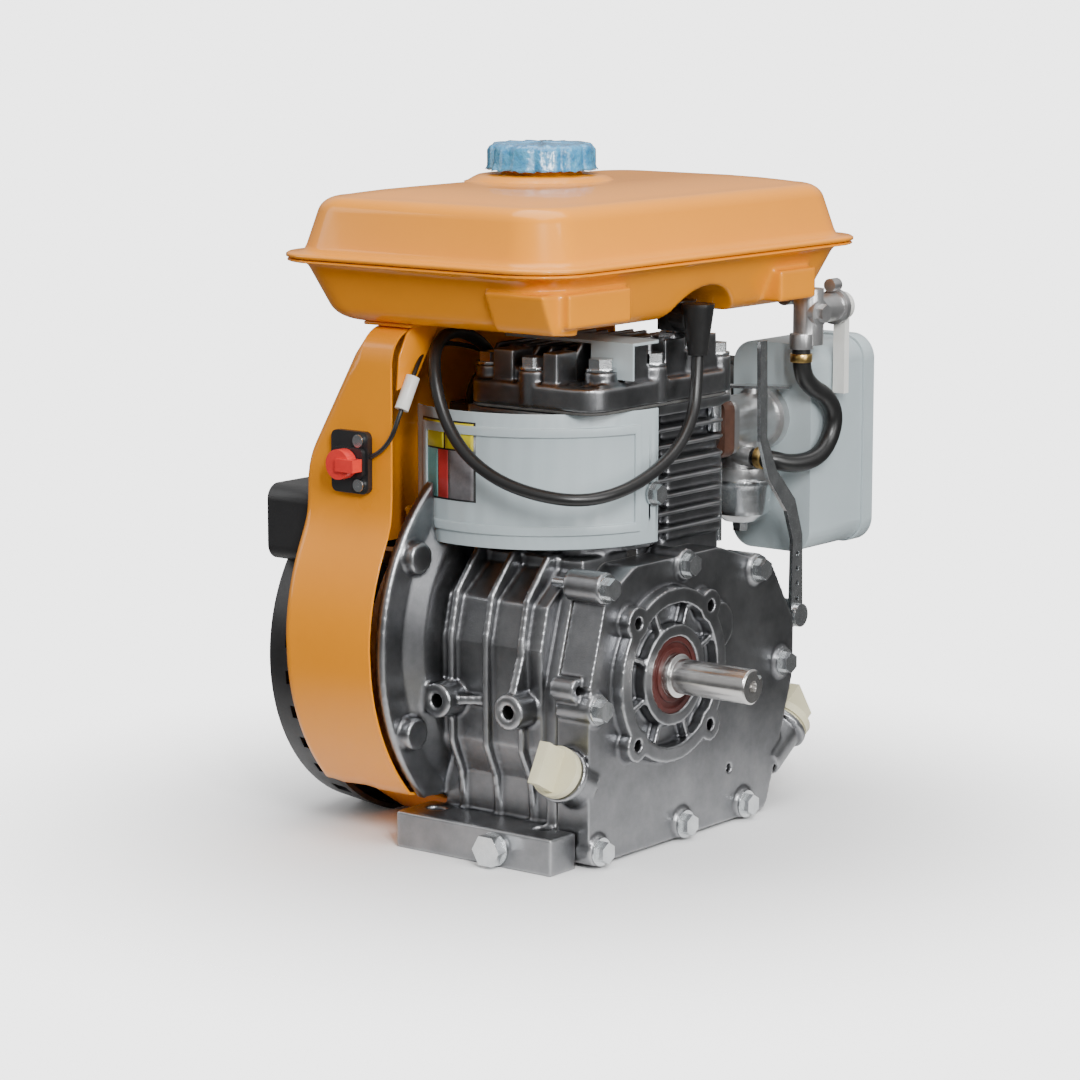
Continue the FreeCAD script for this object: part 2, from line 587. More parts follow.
NECKS = [("-64", "46", 62, "19"), ("112", "28", -56, "30")]


def crankcase():
    front = "joint_x - gasket_t"
    shell = fuse(case_prism("5", "case_end", front), case_prism("0", f"{front} - flange_t", front))
    hollow = case_prism("5 + wall", "case_end + wall", f"{front} + 1", "floor_z + 8", "4")
    near_bar, near_slots = foot("foot_front_y", "foot_front_y + foot_w", "foot_front_y + 19")
    far_bar, far_slots = foot("foot_rear_y - foot_w - 10", "foot_rear_y", "foot_rear_y - 19")
    chest, chest_hollows = valve_chest()
    bosses, boss_holes = side_bosses()
    base = box(("case_end", "foot_x"), ("foot_front_y + foot_w - 1", "foot_rear_y - foot_w - 9"),
               ("0", "floor_z + 6"))
    cover_room = box((front, "50"), ("side_y - 1.5", "far_y"), ("-1", "top_z + 5"))
    corner = box(("case_end", front), ("foot_rear_y - foot_w - 8", "far_y - 32"), ("floor_z", "foot_h + 5"))
    boss = rod("X", "bearing_r + 7", ("fly_bearing_x - 2.5", "case_end + wall + 4"), CRANK)
    cam_boss = rod("X", "cam_r + 5", ("case_end", "case_end + 14"), CAM)
    lug = fuse(rod("X", "9", ("-44", "-16"), ("140", "112")), box(("-44", "-32"), ("118", "140"), ("104", "120")))
    sump = cut(shell, hollow)
    barrel = rod("Z", "barrel_r", ("liner_low", "deck_z"), BORE)
    shelf = box(("case_end + 2", "joint_x - 1"), ("side_y + 24", "fin_y1 - 1"), ("150", "top_z + 3"))
    solid = fuse(sump, near_bar, far_bar, base, cut(shelf, hollow), barrel, chest, boss, cam_boss, lug,
                 fins(), bell(), corner, *bosses, *ribs())
    holes = [rod("Z", "liner_r", ("liner_low - 1", "deck_z + 1"), BORE),
             rod("X", "bearing_r", ("fly_bearing_x", "case_end + wall + 5"), CRANK),
             rod("X", "journal_r + 4", ("fly_bearing_x - 4", "fly_bearing_x + 1"), CRANK),
             rod("X", "cam_r + run", ("case_end + 1.8", "case_end + 15"), CAM),
             rod("X", "3 + run", ("-45", "-15"), ("140", "112")),
             rod("Y", "7", ("foot_front_y - 1", "foot_front_y + 14"), ("-55", "10")),
             *chest_hollows, *boss_holes, *near_slots, *far_slots,
             cover_room, wheel_room(),
             *[rod("X", "screw_r + slip", (f"joint_x - {bolt_depth(spot)} - 0.5", "joint_x"), spot)
               for spot in COVER_BOLTS],
             *[rod("Z", "4 + slip", ("deck_z - 24", "deck_z + 1"), spot) for spot in HEAD_BOLTS]]
    keep("crankcase", cut(solid, *holes))


def cylinder_liner():
    bore = rod("Z", "bore_r", ("liner_low - 1", "deck_z + 1"), BORE)
    keep("cylinder_liner", cut(rod("Z", "liner_r", ("liner_low", "deck_z"), BORE), bore, wheel_room()))


def cover_gasket():
    ring = cut(case_prism("0", "joint_x - gasket_t", "joint_x"),
               case_prism("5 + wall", "joint_x - 2", "joint_x + 1", "floor_z + 8", "4"))
    keep("cover_gasket", cut(ring, *screw_spots("screw_r + slip", ("joint_x - 1", "joint_x + 1"))))


def pto_ring():
    """The ribbed mounting ring around the shaft and its four ears."""
    face = ("joint_x + cover_t - 2", "0")
    ring = cut(rod("X", "ring_r", face, CRANK), rod("X", "ring_r - ring_w", ("-9", "1"), CRANK))
    ears = []
    holes = []
    for corner in range(4):
        angle = math.radians(45 + 90 * corner)
        spot = (f"pcd / 2 * {math.cos(angle):.6f}", f"crank_z + pcd / 2 * {math.sin(angle):.6f}")
        ears.append(rod("X", "ear_r", face, spot))
        holes.append(rod("X", "pto_hole_r", ("-20", "1"), spot))
    spokes = []
    for number in range(8):
        spokes.append(leaning(box(("-9", "-2"), ("-1.6", "1.6"), ("hub_r - 4", "ring_r - 3")),
                              Vector(1, 0, 0), 22.5 + 45 * number, "0", "0", "crank_z"))
    return [ring, *ears, *spokes], holes


def crankcase_cover():
    outer_x = "joint_x + cover_t"
    shell = cut(case_prism("0", "joint_x", outer_x),
                case_prism("5 + wall", "joint_x - 1", f"{outer_x} - wall", "floor_z + 8", "4"))
    pads, pto_holes = pto_ring()
    bosses = [rod("X", "boss_r", ("joint_x", f"{outer_x} + 2"), spot) for spot in COVER_BOLTS]
    side_ear = rod("X", "7", ("joint_x", "-14"), ("-71", "101"))
    hub = rod("X", "hub_r", (outer_x, "0"), CRANK)
    housing = rod("X", "bearing_r + 7", ("joint_x + 2", outer_x), CRANK)
    cam_boss = rod("X", "cam_r + 7", ("joint_x + 4", f"{outer_x} + 3"), CAM)
    stub = rod("X", "gov_shaft_r", ("gear_x - 19", f"{outer_x} - 3"), GOVERNOR)
    inside = case_prism("5 + wall", "joint_x - 1", f"{outer_x} - wall", "floor_z + 8", "4")
    behind = box(("joint_x - 10", "joint_x"), ("-200", "250"), ("-20", "300"))
    necks = [cut(neck(*place), inside, behind) for place in NECKS]
    solid = fuse(shell, hub, housing, cam_boss, stub, side_ear, *necks, *bosses, *pads)
    holes = [rod("X", "bearing_r", ("joint_x", "pto_bearing_x + bearing_w"), CRANK),
             rod("X", "journal_r + 5", ("-12", "1"), CRANK),
             rod("X", "seal_outer_r", ("-seal_in - seal_w", "1"), CRANK),
             rod("X", "cam_r + run", ("joint_x", "-10.7"), CAM),
             rod("X", "2.5", (f"{outer_x} - 4", "1"), ("65", "33")),
             rod("X", "2.5", ("-22", "1"), ("-71", "101")),
             *[neck_bore(*place) for place in NECKS],
             *screw_spots("screw_r + slip", ("joint_x - 1", "1")), *pto_holes]
    below = box(("joint_x - 5", "20"), ("-200", "250"), ("-20", "floor_z"))
    keep("crankcase_cover", cut(solid, *holes, below))


def cover_bolts():
    pieces = []
    for spot in COVER_BOLTS:
        base = "joint_x + cover_t + 2"
        pieces.append(fuse(rod("X", "screw_r", (f"joint_x - {bolt_depth(spot)}", base), spot),
                           rod("X", "screw_flange_r", (base, f"{base} + 1.4"), spot),
                           hexagon("X", "screw_head_r", (f"{base} + 1", f"{base} + 1 + screw_head_h"), spot)))
    keep("cover_bolts", fuse(*pieces))


def drain_plug():
    spot = ("-55", "10")
    keep("drain_plug", fuse(rod("Y", "7 - slip", ("foot_front_y", "foot_front_y + 12"), spot),
                            rod("Y", "9.6", ("foot_front_y - 2", "foot_front_y"), spot),
                            hexagon("Y", "9.5", ("foot_front_y - 9", "foot_front_y - 2"), spot)))


def oil_cap(label, y, z, lean, reach):
    """A filler cap with a thumb tab, seated on its neck's mouth."""
    away = Vector(1, 0, 0)
    sine, cosine = math.sin(math.radians(lean)), math.cos(math.radians(lean))

    def level(height):
        return "-19", f"{y} - ({reach} + {height}) * {sine:.5f}", f"{z} + ({reach} + {height}) * {cosine:.5f}"

    plug = leaning(post("10 - run", "6.4"), away, lean, *level(-6))
    gasket = leaning(post("13", "2"), away, lean, *level(0.2))
    dome = leaning(post("14.5", "5"), away, lean, *level(2))
    tab = leaning(box(("-3.2", "3.2"), ("-12", "12"), ("0", "18")), away, lean, *level(5))
    keep(label, fuse(plug, gasket, dome, tab))


# ---- cylinder head ----

def cylinder_head():
    low = "deck_z + gasket_head_t"
    plate = prism("XY_Plane", rectangle(("head_x0", "head_x1"), ("head_y0 - 5", "head_y1")), low, "head_t", "14")
    blades = []
    count = int((size("head_x1") - size("head_x0") - 6) / size("head_fin_pitch")) + 1
    for number in range(count):
        x = f"head_x1 - 4 - {number} * head_fin_pitch"
        top = "head_top" if number < 4 else "head_top - 3"
        blades.append(box((f"{x} - head_fin_t", x), ("head_y0 + 4", "head_y1 - 4"), (low, top)))
    towers = [rod("Z", "9", (low, f"{low} + head_t + 8"), spot) for spot in HEAD_BOLTS]
    blocks = [box(span, ("head_y0 - 3", "-30"), (low, "head_top - 3")) for span in (("-92", "-78"), ("-57", "-47"))]
    tower = rod("Z", "14", (low, "head_top - 8"), ("plug_x", "plug_y"))
    chamber = [rod("Z", "bore_r - 3", (f"{low} - 1", f"{low} + 3"), BORE)]
    chamber += [rod("Z", "valve_head_r + 2", (f"{low} - 1", f"{low} + 8"), (x, "valve_y")) for x in VALVES]
    bays = [rod("Z", "9", (f"{low} + head_t + 8", "head_top + 1"), spot) for spot in HEAD_BOLTS]
    holes = [rod("Z", "4 + slip", (f"{low} - 1", "head_top"), spot) for spot in HEAD_BOLTS]
    seat = rod("Z", "12.5", ("head_top - 8", "head_top + 1"), ("plug_x", "plug_y"))
    bore = rod("Z", "plug_hole_r", (f"{low} - 1", "head_top + 1"), ("plug_x", "plug_y"))
    slope = prism("YZ_Plane", [("head_y0 - 6", f"{low} + head_t"), ("head_y0 + 4", f"{low} + head_t"),
                               ("-20", "head_top"), ("-20", "head_top + 1"), ("head_y0 - 6", "head_top + 1")],
                  "head_x0 - 1", "head_x1 - head_x0 + 2")
    tab_room = box(("-48", "head_x1 + 1"), ("head_y0", "-16.8"), ("head_top - 20", "head_top + 1"))
    fins_cut = cut(fuse(*blades), slope, tab_room)
    keep("cylinder_head", cut(fuse(plate, tower, fins_cut, *towers, *blocks), seat, bore, *chamber, *bays, *holes))


def head_gasket():
    sheet_piece = prism("XY_Plane", rectangle(("head_x0", "head_x1"), ("head_y0 - 5", "head_y1")), "deck_z",
                        "gasket_head_t", "14")
    holes = [rod("Z", "bore_r + 1", ("deck_z - 1", "deck_z + 3"), BORE)]
    holes += [rod("Z", "valve_head_r + 2", ("deck_z - 1", "deck_z + 3"), (x, "valve_y")) for x in VALVES]
    holes += [rod("Z", "4 + slip", ("deck_z - 1", "deck_z + 3"), spot) for spot in HEAD_BOLTS]
    keep("head_gasket", cut(sheet_piece, *holes))


def head_bolts():
    top = "deck_z + gasket_head_t + head_t + 8"
    pieces = []
    for spot in HEAD_BOLTS:
        pieces.append(fuse(rod("Z", "4", ("deck_z - 22", top), spot), rod("Z", "8.6", (top, f"{top} + 1.5"), spot),
                           hexagon("Z", "7.4", (f"{top} + 1", f"{top} + 7"), spot)))
    keep("head_bolts", fuse(*pieces))


def spark_plug():
    low, spot = "deck_z + gasket_head_t", ("plug_x", "plug_y")
    keep("spark_plug", fuse(rod("Z", "plug_hole_r - slip", (f"{low} + 4", "head_top - 8"), spot),
                            rod("Z", "10", ("head_top - 8", "head_top - 6"), spot),
                            hexagon("Z", "11", ("head_top - 6", "head_top + 2"), spot),
                            rod("Z", "6", ("head_top + 2", "head_top + 10"), spot)))


def plug_cap():
    """The rubber boot over the plug: an elbow whose arm hangs down beside the head."""
    spot, end = ("plug_x", "plug_y"), ("plug_x + 22", "plug_y - 10")
    sleeve = rod("Z", "11", ("head_top + 3.5", "head_top + 20"), spot)
    arm = leaning(post("9.2", "23"), Vector(10, 22, 0), 90, "plug_x", "plug_y", "head_top + 10.7")
    drop = cone("Z", "5.5", "9.5", ("head_top - 9", "head_top + 20"), end)
    hole = rod("Z", "6", ("head_top + 3", "head_top + 10"), spot)
    hex_room = rod("Z", "11.4", ("head_top - 10", "head_top + 3"), spot)
    keep("plug_cap", cut(fuse(sleeve, arm, drop), hole, hex_room))


def tappet_cover():
    plate = box(("-104", "-30"), ("chest_y", "chest_y + 3"), ("162", "208.5"))
    pad = box(("-98", "-36"), ("chest_y + 3", "chest_y + 6"), ("168", "203"))
    keep("tappet_cover", fuse(plate, pad))


# ---- blower housing, baffle and recoil starter ----

def housing_block(inset, low_x, high_x):
    """The scroll round the flywheel and the square neck above it, drawn in by an inset."""
    scroll = rod("X", f"house_r - {inset}", (low_x, high_x), ("0", "house_z"))
    floor = prism("YZ_Plane", [("-150", "400"), ("-150", "0"), (f"-84 + {inset}", "28"),
                               ("-60", f"24 + {inset}"), ("-25", f"floor_z + {inset}"), ("25", f"floor_z + {inset}"),
                               ("60", f"24 + {inset}"),
                               (f"84 - {inset}", "28"), ("150", "0"), ("150", "400")], low_x,
                  f"({high_x}) - ({low_x})")
    neck_block = prism("YZ_Plane", rectangle((f"-neck_y + {inset}", f"neck_y - {inset}"),
                                             ("house_z", f"neck_top - {inset}")), low_x,
                       f"({high_x}) - ({low_x})", f"22 - {inset}")
    return fuse(common(scroll, floor), neck_block)


CASE_SCREWS = [("-84", "crank_z + 78"), ("84", "crank_z + 78")]


def slant(inset):
    """The wedge that the housing's upper front corner loses, so that it leans in towards the head."""
    return prism("XZ_Plane", [(f"house_front - 5", "226"), (f"house_front + {inset}", "226"),
                              (f"-142 + {inset}", "301"), ("house_front - 5", "301")], "-150", "300")


def blower_housing():
    outer = cut(housing_block("0", "house_front", "house_back"), slant("0"))
    inner = cut(housing_block("sheet", "house_front + sheet", "house_back + 1"), slant("sheet"))
    inlet = rod("X", "inlet_r", ("house_front - 1", "house_front + 3"), CRANK)
    screws = [rod("X", "2.5 + slip", ("house_front - 1", "house_front + 3"), spot) for spot in CASE_SCREWS]
    keep("blower_housing", cut(outer, inner, inlet, *screws))


def sector(radius, thick, low_z, high_z, start, sweep):
    """A curved sheet round the cylinder, from a start angle over a sweep."""
    rings = []
    for reach in (radius, f"{radius} - {thick}"):
        ring = rod("Z", reach, (low_z, high_z), ("panel_x", "panel_y"))
        ring.Angle = sweep
        ring.Placement = Placement(Vector(), Rotation(Vector(0, 0, 1), start))
        rings.append(ring)
    return cut(*rings)


def baffle_panel():
    """The grey sheet round the near side of the fins, with a raised border and a hook at its end."""
    panel = sector("panel_r", "1.2", "panel_low", "deck_z", -119, 118)
    frame = sector("panel_r + 1.4", "1.5", "panel_low + 8", "deck_z - 8", -112, 100)
    window = sector("panel_r + 2", "3", "panel_low + 13", "deck_z - 13", -109, 94)
    flat = box(("-152", "-134.5"), ("-65", "-63.8"), ("panel_low + 24", "panel_low + 52"))
    screw = rod("X", "2 + slip", ("-22", "-10"), ("0", "panel_low + 28"))
    keep("baffle_panel", cut(fuse(panel, cut(frame, window)), screw))


def head_shroud():
    """The bracket on the head bolts, with a tab that hangs over the near side of the fins."""
    low = "head_top + 0.2"
    plate = prism("XY_Plane", rectangle(("-110", "-17"), ("-18.8", "9")), low, "1.6", "5")
    tab = box(("-46", "-17"), ("-18.8", "-17.2"), ("head_top - 19", f"{low} + 1.6"))
    keep("head_shroud", fuse(plate, tab))


def ignition_coil():
    """The laminated core that straddles the flywheel's rim, with its moulded winding."""
    rim = "crank_z + fly_r + air"
    core = cut(box(("-146", "-130"), ("-30", "30"), (rim, f"{rim} + 26")),
               box(("-147", "-129"), ("-19", "19"), (f"{rim} - 1", f"{rim} + 14")))
    winding = prism("XY_Plane", rectangle(("-153", "-125"), ("-17", "17")), f"{rim} + 26", "26", "6")
    relief = rod("X", f"fly_r + air", ("-155", "-120"), CRANK)
    keep("ignition_coil", cut(fuse(core, winding), relief))


def recoil_case():
    """The black starter case: a stepped dome with louvres round its side and a post for the reel."""
    front = "house_front"
    profile = [(f"{front} - 0.3", "recoil_r"), (f"{front} - 0.3", "recoil_r - recoil_t"),
               (f"{front} - 30", "recoil_r - recoil_t - 3"), (f"{front} - 44", "78"),
               (f"{front} - recoil_depth + recoil_t", "60"), (f"{front} - recoil_depth + recoil_t", "0"),
               (f"{front} - recoil_depth", "0"), (f"{front} - recoil_depth", "64"),
               (f"{front} - 46", "82"), (f"{front} - 31", "recoil_r - 3")]
    dome = move(turned(profile), "0", "0", "crank_z")
    pillar = rod("X", "8", (f"{front} - recoil_depth + 1", f"{front} - 6"), CRANK)
    bump = prism("YZ_Plane", rectangle(("-98", "-52"), ("crank_z + 56", "crank_z + 100")), f"{front} - 34", "33.7", "9")
    outlet = rod("Y", "9", ("84", "106"), (f"{front} - 22", "crank_z + 58"))
    hollow = rod("X", "recoil_r - 8", (f"{front} - 30", f"{front}"), CRANK)
    vents = []
    count = int(size("vent_count"))
    for number in range(count):
        turn = 360 * number / count
        vents.append(leaning(box((f"{front} - 18", f"{front} - 6"), ("-4", "4"), ("recoil_r - 12", "recoil_r + 6")),
                             Vector(1, 0, 0), turn, "0", "0", "crank_z"))
    rope_hole = rod("Y", "3", ("70", "108"), (f"{front} - 22", "crank_z + 58"))
    pocket = rod("X", "7.5", (f"{front} - 40", front), CASE_SCREWS[0])
    keep("recoil_case", cut(fuse(dome, pillar, cut(bump, hollow), cut(outlet, hollow)), rope_hole, pocket, *vents))


def starter_reel():
    x = "house_front - 34"
    profile = [(x, "8 + run"), (x, "reel_r"), (f"{x} + 3", "reel_r"), (f"{x} + 3", "reel_r - 12"),
               (f"{x} + reel_w - 3", "reel_r - 12"), (f"{x} + reel_w - 3", "reel_r"),
               (f"{x} + reel_w", "reel_r"), (f"{x} + reel_w", "8 + run")]
    keep("starter_reel", turned(profile), ("0", "0", "crank_z"))


def starter_grip():
    x, z = "house_front - 22", "crank_z + 58"
    bar = prism("XZ_Plane", rectangle((f"{x} - 9", f"{x} + 9"), (f"{z} - 32", f"{z} + 32")), "-124", "17.5", "7")
    neck_piece = rod("Y", "6", ("106.3", "108"), (x, z))
    keep("starter_grip", fuse(bar, neck_piece))


# ---- tank ----

def shell_block(inset, low, high, lean, corner, x0, x1, y0, y1):
    outline_points = rectangle((f"{x0} + {inset}", f"{x1} - {inset}"), (f"{y0} + {inset}", f"{y1} - {inset}"))
    return prism("XY_Plane", outline_points, low, f"({high}) - ({low})", corner, taper=lean)


def tank_upper_shell():
    """The pressed upper half: leaning walls, a raised ring at the filler and the upper seam lip."""
    wall_out = ("tank_x0 + lip", "tank_x1 - lip", "tank_y0 + lip", "tank_y1 - lip")
    outer = shell_block("0", "seam_z", "tank_top", -14, "tank_corner - 8", *wall_out)
    inner = shell_block("tank_wall", "seam_z - 1", "tank_top - tank_wall", -14, "tank_corner - 10", *wall_out)
    lip = prism("XY_Plane", rectangle(("tank_x0", "tank_x1"), ("tank_y0", "tank_y1")), "seam_z", "lip_t",
                "tank_corner")
    raised = cone("Z", "cap_r + 14", "cap_r + 4", ("tank_top - 1", "tank_top + 3"), ("cap_x", "cap_y"))
    collar = rod("Z", "neck_r + 3", ("tank_top - 2", "tank_top + 6"), ("cap_x", "cap_y"))
    bore = rod("Z", "neck_r", ("tank_top - 10", "tank_top + 10"), ("cap_x", "cap_y"))
    keep("tank_upper_shell", cut(fuse(outer, lip, raised, collar), inner, bore))


def end_slope(inset):
    """The wedge cut from the far end of the tank's floor, which slopes up to the seam."""
    return prism("YZ_Plane", [(f"138 - {inset}", "tank_floor - 2"), ("tank_y1 + 5", "tank_floor - 2"),
                              ("tank_y1 + 5", "seam_z - lip_t - 1"),
                              (f"tank_y1 - lip - {inset}", "seam_z - lip_t - 1")], "tank_x0", "tank_x1 - tank_x0")


def tank_lower_shell():
    """The pressed lower half with two lobes and an arch over the spark plug between them."""
    wall_out = ("tank_x0 + lip", "tank_x1 - lip", "tank_y0 + lip", "tank_y1 - lip")

    def block(inset, low, high):
        body = doc.addObject("PartDesign::Body", "bowl")
        x0, x1, y0, y1 = wall_out
        drawing = outline(body, "XY_Plane", rectangle((f"{x0} + {inset}", f"{x1} - {inset}"),
                                                      (f"{y0} + {inset}", f"{y1} - {inset}")), high)
        pad = body.newObject("PartDesign::Pad", "pad")
        pad.Profile = drawing
        pad.Reversed = True
        pad.TaperAngle = -24
        tie(pad, Length=f"({high}) - ({low})")
        doc.recompute()
        rounded(body, pad, side_edges(pad.Shape, Vector(0, 0, 1)), "tank_corner - 12")
        return body

    arch = rod("X", "42", ("-60", "20"), ("plug_y", "tank_floor - 22"))
    inner_arch = rod("X", "42 + tank_wall", ("-60 - tank_wall", "20"), ("plug_y", "tank_floor - 22"))
    outer = cut(block("0", "tank_floor", "seam_z - lip_t"), arch)
    inner = cut(block("tank_wall", "tank_floor + tank_wall", "seam_z - lip_t"), inner_arch)
    lip = cut(prism("XY_Plane", rectangle(("tank_x0", "tank_x1"), ("tank_y0", "tank_y1")), "seam_z - lip_t",
                    "lip_t", "tank_corner"),
              prism("XY_Plane", rectangle(("tank_x0 + lip + 3", "tank_x1 - lip - 3"),
                                          ("tank_y0 + lip + 3", "tank_y1 - lip - 3")), "seam_z - lip_t - 1",
                    "lip_t + 2", "tank_corner - 10"))
    keep("tank_lower_shell", fuse(cut(cut(outer, end_slope("0")), cut(inner, end_slope("tank_wall"))), lip))


def fuel_cap():
    """The filler cap: a fluted rim over a plug that runs in the filler neck."""
    low = "tank_top + 6.3"
    spot = ("cap_x", "cap_y")
    rim = rod("Z", "cap_r", (low, f"{low} + cap_h - 3"), spot)
    crown = cone("Z", "cap_r", "cap_r - 3", (f"{low} + cap_h - 3", f"{low} + cap_h"), spot)
    flutes = []
    for number in range(12):
        turn = math.radians(30 * number)
        flutes.append(rod("Z", "3.4", (f"{low} - 1", f"{low} + cap_h + 1"),
                          (f"cap_x + (cap_r + 1.4) * {math.cos(turn):.6f}",
                           f"cap_y + (cap_r + 1.4) * {math.sin(turn):.6f}")))
    plug = rod("Z", "neck_r - run", ("tank_top", low), spot)
    keep("fuel_cap", cut(fuse(rim, crown, plug), *flutes))


# ---- intake, air cleaner and exhaust ----

def insulator_block():
    block = prism("XZ_Plane", rectangle(("carb_x - 18", "carb_x + 18"), ("port_z - 17", "port_z + 17")),
                  "-carb_y0", "carb_y0 - flange_y", "6")
    keep("insulator_block", cut(block, rod("Y", "10", ("flange_y - 1", "carb_y0 + 1"), ("carb_x", "port_z"))))


THROTTLE = ("carb_y0 + 13", "22")
CHOKE = ("filter_y0 - 13", "19")


def carburetor_body():
    axis = ("carb_x", "port_z")
    flange = prism("XZ_Plane", rectangle(("carb_x - 18", "carb_x + 18"), ("port_z - 16", "port_z + 16")),
                   "-carb_y0 - 5", "5", "6")
    barrel = rod("Y", "16", ("carb_y0 + 4", "filter_y0"), axis)
    mouth = rod("Y", "19", ("filter_y0 - 6", "filter_y0"), axis)
    deck = rod("Z", "bowl_r", ("bowl_high", "bowl_high + 7"), ("carb_x", "bowl_y"))
    pillar = rod("Z", "12", ("bowl_high + 5", "port_z"), ("carb_x", "bowl_y"))
    posts = [rod("Z", "5", ("port_z + 10", f"port_z + {level} - 0.4"), ("carb_x", y))
             for y, level in (THROTTLE, CHOKE)]
    nozzle = rod("X", "3", ("-40", "-30"), ("128", "206"))
    drum = rod("X", "6", ("-48", "-36"), ("128", "206"))
    bore = rod("Y", "10", ("carb_y0 - 1", "filter_y0 + 1"), axis)
    shafts = [rod("Z", "2 + run", ("port_z - 13", "port_z + 30"), ("carb_x", y)) for y, _ in (THROTTLE, CHOKE)]
    keep("carburetor_body", cut(fuse(flange, barrel, mouth, deck, pillar, nozzle, drum, *posts), bore, *shafts))


def float_bowl():
    """The float bowl: a round cup closed below by its drain bolt."""
    profile = [("0", "0"), ("0", "bowl_r - 9"), ("5", "bowl_r - 2"), ("bowl_high - bowl_low - 3", "bowl_r"),
               ("bowl_high - bowl_low - 3", "bowl_r + 2"), ("bowl_high - bowl_low", "bowl_r + 2"),
               ("bowl_high - bowl_low", "bowl_r - 1.5"), ("7", "bowl_r - 4"), ("3", "bowl_r - 10"), ("3", "0")]
    cup = move(turned(profile, "Z"), "carb_x", "bowl_y", "bowl_low")
    bolt = hexagon("Z", "5", ("bowl_low - 6", "bowl_low + 1"), ("carb_x", "bowl_y"))
    keep("float_bowl", fuse(cup, bolt))


def butterfly(label, y, level):
    """A valve plate on an upright shaft in the bore, with the lever that turns it on top."""
    shaft = rod("Z", "2", ("port_z - 12", f"port_z + {level} + 1"), ("carb_x", y))
    plate = rod("Y", "10 - air", (f"{y} - 0.8", f"{y} + 0.8"), ("carb_x", "port_z"))
    arm = leaning(box(("-4", "24"), ("-4", "4"), ("0", "1.6")), Vector(0, 0, 1), 20, "carb_x", y,
                  f"port_z + {level}")
    keep(label, fuse(shaft, plate, arm))


def case_shell(inset, low_y, high_y):
    return prism("XZ_Plane", rectangle((f"filter_x0 + {inset}", f"filter_x1 - {inset}"),
                                       (f"filter_z0 + {inset}", f"filter_z1 - {inset}")),
                 f"-({high_y})", f"({high_y}) - ({low_y})", f"filter_corner - {inset}")


def air_cleaner_case():
    outer = case_shell("0", "filter_y0", "lid_y - 0.3")
    inner = case_shell("1.4", "filter_y0 + 1.4", "lid_y")
    mouth = rod("Y", "12", ("filter_y0 - 1", "filter_y0 + 2"), ("carb_x", "port_z"))
    stud = rod("Y", "3", ("filter_y0 + 1", "filter_y1 + 10"), ("filter_x0 / 2 + filter_x1 / 2", "208"))
    keep("air_cleaner_case", fuse(cut(outer, inner, mouth), stud))


def air_cleaner_lid():
    lid = cut(case_shell("-1.2", "lid_y", "filter_y1"), case_shell("1.5", "lid_y - 1", "filter_y1 - 1.4"))
    middle = ("filter_x0 / 2 + filter_x1 / 2", "208")
    knob = fuse(rod("Y", "9", ("filter_y1", "filter_y1 + 3"), middle),
                box((f"{middle[0]} - 12", f"{middle[0]} + 12"), ("filter_y1 + 3", "filter_y1 + 9"), ("205", "211")))
    keep("air_cleaner_lid", cut(fuse(lid, knob), rod("Y", "3 + slip", ("lid_y", "filter_y1 + 11"), middle)))


def filter_element():
    block = case_shell("5", "filter_y0 + 12", "lid_y - 2")
    core = box(("filter_x0 + 16", "filter_x1 - 16"), ("filter_y0 + 11", "lid_y - 12"),
               ("filter_z0 + 16", "filter_z1 - 16"))
    stud_room = rod("Y", "6", ("filter_y0", "filter_y1"), ("filter_x0 / 2 + filter_x1 / 2", "208"))
    keep("filter_element", cut(block, core, stud_room))


def muffler():
    x, y, z = (("muffler_x0", "muffler_x1"), ("muffler_y0", "muffler_y1"), ("muffler_z0", "muffler_z1"))
    start, depth = f"-({y[1]})", f"{y[1]} - {y[0]}"
    drum = cut(prism("XZ_Plane", rectangle(x, z), start, depth, "18"),
               prism("XZ_Plane", rectangle((f"{x[0]} + 1.5", f"{x[1]} - 1.5"), (f"{z[0]} + 1.5", f"{z[1]} - 1.5")),
                     f"{start} + 1.5", f"{depth} - 3", "16"))
    seam = cut(prism("XZ_Plane", rectangle((f"{x[0]} - 3", f"{x[1]} + 3"), (f"{z[0]} - 3", f"{z[1]} + 3")),
                     f"{start} + 30", "3", "21"),
               prism("XZ_Plane", rectangle((f"{x[0]} + 1", f"{x[1]} - 1"), (f"{z[0]} + 1", f"{z[1]} - 1")),
                     f"{start} + 29", "5", "17"))
    axis = (VALVES[1], "port_z")
    pipe = rod("Y", "9", ("flange_y + 1", f"{y[0]} + 1"), axis)
    flange = prism("XZ_Plane", rectangle(("-100", "-70.5"), ("port_z - 17", "port_z + 17")), "-flange_y - 5", "5", "5")
    outlet = rod("X", "9", (f"{x[0]} - 12", f"{x[0]} + 1"), (f"{y[0]} + 20", f"{z[0]} + 22"))
    bores = [rod("Y", "7.5", ("flange_y - 1", f"{y[0]} + 2"), axis),
             rod("X", "7.5", (f"{x[0]} - 13", f"{x[0]} + 2"), (f"{y[0]} + 20", f"{z[0]} + 22"))]
    keep("muffler", cut(fuse(drum, seam, pipe, flange, outlet), *bores))


